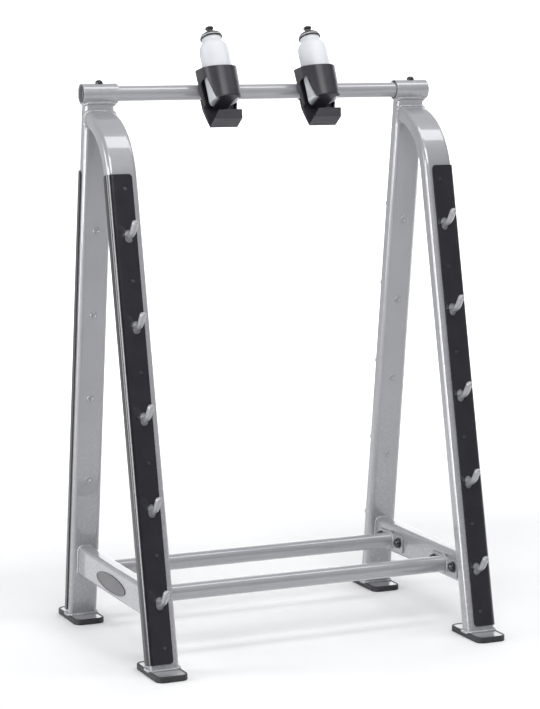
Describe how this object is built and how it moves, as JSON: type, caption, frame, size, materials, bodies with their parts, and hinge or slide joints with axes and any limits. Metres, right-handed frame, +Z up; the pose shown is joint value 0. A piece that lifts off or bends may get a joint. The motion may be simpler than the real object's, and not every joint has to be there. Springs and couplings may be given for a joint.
{
  "type": "barbell storage rack",
  "caption": "Free-standing A-frame rack with rows of hooks on all legs for fixed barbells, joined by round rods, with tilting bottle holders on the top rod.",
  "frame": {"origin": "on the floor at the centre of the footprint", "axes": "+Z up, X along the rods, the bottle holders face -Y"},
  "size_m": [0.9398, 0.7346, 1.5173],
  "materials": {
    "silver": "satin metallic silver powder coat, with sharp highlights along the tube corners",
    "guard_urethane": "charcoal moulded urethane, fine grain, semi-matt",
    "pad_rubber": "matt black rubber",
    "screw_black": "black, low gloss",
    "cap_black": "black moulded cap, satin",
    "badge_black": "dark blank plate, satin",
    "holder_moulding": "charcoal moulding, fine texture, soft sheen",
    "bottle_frosted": "frosted translucent white squeeze plastic",
    "bottle_cap_black": "black moulded plastic, glossy"
  },
  "bodies": {
    "rack": {"a_frame_left": "silver", "a_frame_right": "silver", "cross_tube_left": "silver", "cross_tube_right": "silver", "base_plate_front_left": "silver", "base_plate_front_right": "silver", "base_plate_rear_left": "silver", "base_plate_rear_right": "silver", "foot_pad_front_left": "pad_rubber", "foot_pad_front_right": "pad_rubber", "foot_pad_rear_left": "pad_rubber", "foot_pad_rear_right": "pad_rubber", "guard_strip_front_left": "guard_urethane", "guard_strip_front_right": "guard_urethane", "guard_strip_rear_left": "guard_urethane", "guard_strip_rear_right": "guard_urethane", "hook_front_left_1": "silver", "hook_front_left_2": "silver", "hook_front_left_3": "silver", "hook_front_left_4": "silver", "hook_front_left_5": "silver", "hook_front_right_1": "silver", "hook_front_right_2": "silver", "hook_front_right_3": "silver", "hook_front_right_4": "silver", "hook_front_right_5": "silver", "hook_rear_left_1": "silver", "hook_rear_left_2": "silver", "hook_rear_left_3": "silver", "hook_rear_left_4": "silver", "hook_rear_left_5": "silver", "hook_rear_right_1": "silver", "hook_rear_right_2": "silver", "hook_rear_right_3": "silver", "hook_rear_right_4": "silver", "hook_rear_right_5": "silver", "socket_screw_left": "screw_black", "socket_screw_right": "screw_black", "top_rod": "silver", "lower_rod_front": "silver", "lower_rod_rear": "silver", "cap_bolt_front_left_1": "cap_black", "cap_bolt_front_left_2": "cap_black", "cap_bolt_front_right_1": "cap_black", "cap_bolt_front_right_2": "cap_black", "cap_bolt_rear_left_1": "cap_black", "cap_bolt_rear_left_2": "cap_black", "cap_bolt_rear_right_1": "cap_black", "cap_bolt_rear_right_2": "cap_black", "badge_plate": "badge_black"},
    "collar_left": {"holder_collar_left": "holder_moulding"},
    "collar_right": {"holder_collar_right": "holder_moulding"},
    "holder_left": {"bottle_holder_left": "holder_moulding"},
    "holder_right": {"bottle_holder_right": "holder_moulding"},
    "bottle_left": {"bottle_left": "bottle_frosted"},
    "bottle_right": {"bottle_right": "bottle_frosted"},
    "cap_left": {"bottle_cap_left": "bottle_cap_black"},
    "cap_right": {"bottle_cap_right": "bottle_cap_black"},
    "spout_left": {"bottle_spout_left": "bottle_cap_black"},
    "spout_right": {"bottle_spout_right": "bottle_cap_black"}
  },
  "joints": [
    {"name": "collar_slide_left", "type": "slide", "parent": "rack", "child": "collar_left", "axis": [1, 0, 0], "range_m": [-0.19, 0.085]},
    {"name": "collar_slide_right", "type": "slide", "parent": "rack", "child": "collar_right", "axis": [1, 0, 0], "range_m": [-0.085, 0.18]},
    {"name": "holder_tilt_left", "type": "hinge", "parent": "collar_left", "child": "holder_left", "pos_m": [-0.1284, 0.1022, 1.35375], "axis": [1, 0, 0], "range_deg": [-17, 28]},
    {"name": "holder_tilt_right", "type": "hinge", "parent": "collar_right", "child": "holder_right", "pos_m": [0.1397, 0.1022, 1.35375], "axis": [1, 0, 0], "range_deg": [-17, 28]},
    {"name": "bottle_lift_left", "type": "slide", "parent": "holder_left", "child": "bottle_left", "axis": [0, 0.4695, 0.8829], "range_m": [0, 0.11]},
    {"name": "bottle_lift_right", "type": "slide", "parent": "holder_right", "child": "bottle_right", "axis": [0, 0.4695, 0.8829], "range_m": [0, 0.11]},
    {"name": "cap_twist_left", "type": "hinge", "parent": "bottle_left", "child": "cap_left", "pos_m": [-0.1284, 0.04463, 1.38436], "axis": [0, 0.4695, 0.8829], "range_deg": [0, 540]},
    {"name": "cap_twist_right", "type": "hinge", "parent": "bottle_right", "child": "cap_right", "pos_m": [0.1397, 0.04463, 1.38436], "axis": [0, 0.4695, 0.8829], "range_deg": [0, 540]},
    {"name": "spout_pull_left", "type": "slide", "parent": "cap_left", "child": "spout_left", "axis": [0, 0.4695, 0.8829], "range_m": [0, 0.006]},
    {"name": "spout_pull_right", "type": "slide", "parent": "cap_right", "child": "spout_right", "axis": [0, 0.4695, 0.8829], "range_m": [0, 0.006]}
  ]
}
